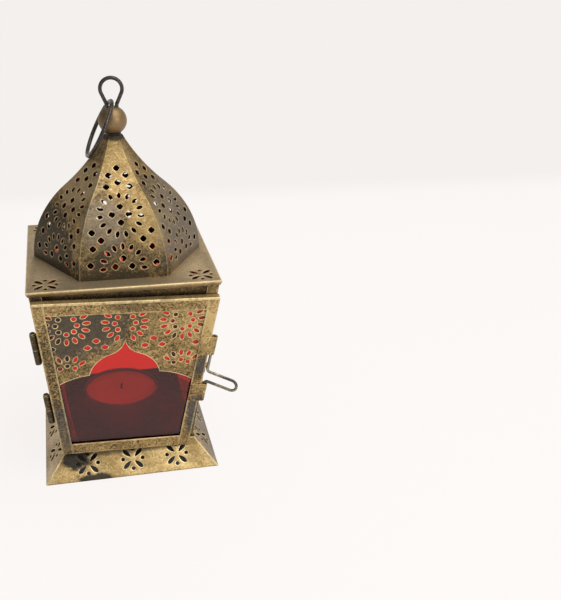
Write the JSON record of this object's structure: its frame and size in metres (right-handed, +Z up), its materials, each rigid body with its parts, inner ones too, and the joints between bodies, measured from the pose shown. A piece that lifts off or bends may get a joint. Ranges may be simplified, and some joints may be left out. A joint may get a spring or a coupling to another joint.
{
  "type": "fanous candle lantern",
  "caption": "Small pressed-brass fanous lantern with a pierced gored dome, red glass panes, a hinged door with a wire hasp, and a carrying ring over a tealight.",
  "frame": {"origin": "middle of the base's foot rim, on the dome's axis, at the level that the lantern stands on", "axes": "+Z up the lantern's axis, -Y out of the door, +X to the hasp's side"},
  "size_m": [0.0955, 0.0929, 0.1903],
  "materials": {
    "brass_sheet": "antique, brushed and mottled",
    "brass_pierced": "antique, pierced sheet with worn edges",
    "brass_ball": "satin",
    "dark_wire": "dark bronze wire",
    "red_glass": "clear red",
    "cup_aluminium": "thin pressed cup",
    "candle_wax": "wax",
    "candle_wick": "cotton"
  },
  "bodies": {
    "lantern": {"base_panel_back": "brass_sheet", "base_panel_front": "brass_sheet", "base_panel_left": "brass_sheet", "base_panel_right": "brass_sheet", "candle_cup": "cup_aluminium", "candle_wax": "candle_wax", "candle_wick": "candle_wick", "dome_gore_1": "brass_pierced", "dome_gore_2": "brass_pierced", "dome_gore_3": "brass_pierced", "dome_gore_4": "brass_pierced", "dome_gore_5": "brass_pierced", "dome_gore_6": "brass_pierced", "finial_ball": "brass_ball", "floor_plate": "brass_sheet", "hanger_loop": "dark_wire", "header_back": "brass_sheet", "header_front": "brass_sheet", "header_left": "brass_sheet", "header_right": "brass_sheet", "hinge_leaf_body_lower": "brass_sheet", "hinge_leaf_body_upper": "brass_sheet", "hinge_pin_lower": "dark_wire", "hinge_pin_upper": "dark_wire", "latch_catch": "brass_sheet", "post_back_left": "brass_sheet", "post_back_right": "brass_sheet", "post_front_left": "brass_sheet", "post_front_right": "brass_sheet", "roof_plate": "brass_sheet", "wall_glass_back": "red_glass", "wall_glass_left": "red_glass", "wall_glass_right": "red_glass", "wall_rail_bottom_back": "brass_sheet", "wall_rail_bottom_left": "brass_sheet", "wall_rail_bottom_right": "brass_sheet", "wall_rail_top_back": "brass_sheet", "wall_rail_top_left": "brass_sheet", "wall_rail_top_right": "brass_sheet", "wall_screen_back": "brass_pierced", "wall_screen_left": "brass_pierced", "wall_screen_right": "brass_pierced"},
    "door": {"door_stile_left": "brass_sheet", "door_stile_right": "brass_sheet", "door_rail_bottom": "brass_sheet", "door_rail_top": "brass_sheet", "door_glass": "red_glass", "door_screen": "brass_pierced", "hinge_leaf_door_upper": "brass_sheet", "hinge_leaf_door_lower": "brass_sheet", "hasp_strap_upper": "brass_sheet", "hasp_strap_lower": "brass_sheet"},
    "hasp": {"hasp_wire": "dark_wire"},
    "ring": {"carry_ring": "dark_wire"}
  },
  "joints": [
    {"name": "door_hinge", "type": "hinge", "parent": "lantern", "child": "door", "pos_m": [-0.04112, -0.03999, 0.06706], "axis": [0.0931, 0.1248, -0.9878], "range_deg": [0, 58]},
    {"name": "hasp_swing", "type": "hinge", "parent": "door", "child": "hasp", "pos_m": [0.03748, -0.04018, 0.05503], "axis": [0.1623, -0.1237, 0.979], "range_deg": [-85, 105]},
    {"name": "ring_swing", "type": "hinge", "parent": "lantern", "child": "ring", "pos_m": [0, 0, 0.17855], "axis": [0, 1, 0], "range_deg": [0, 305]}
  ]
}
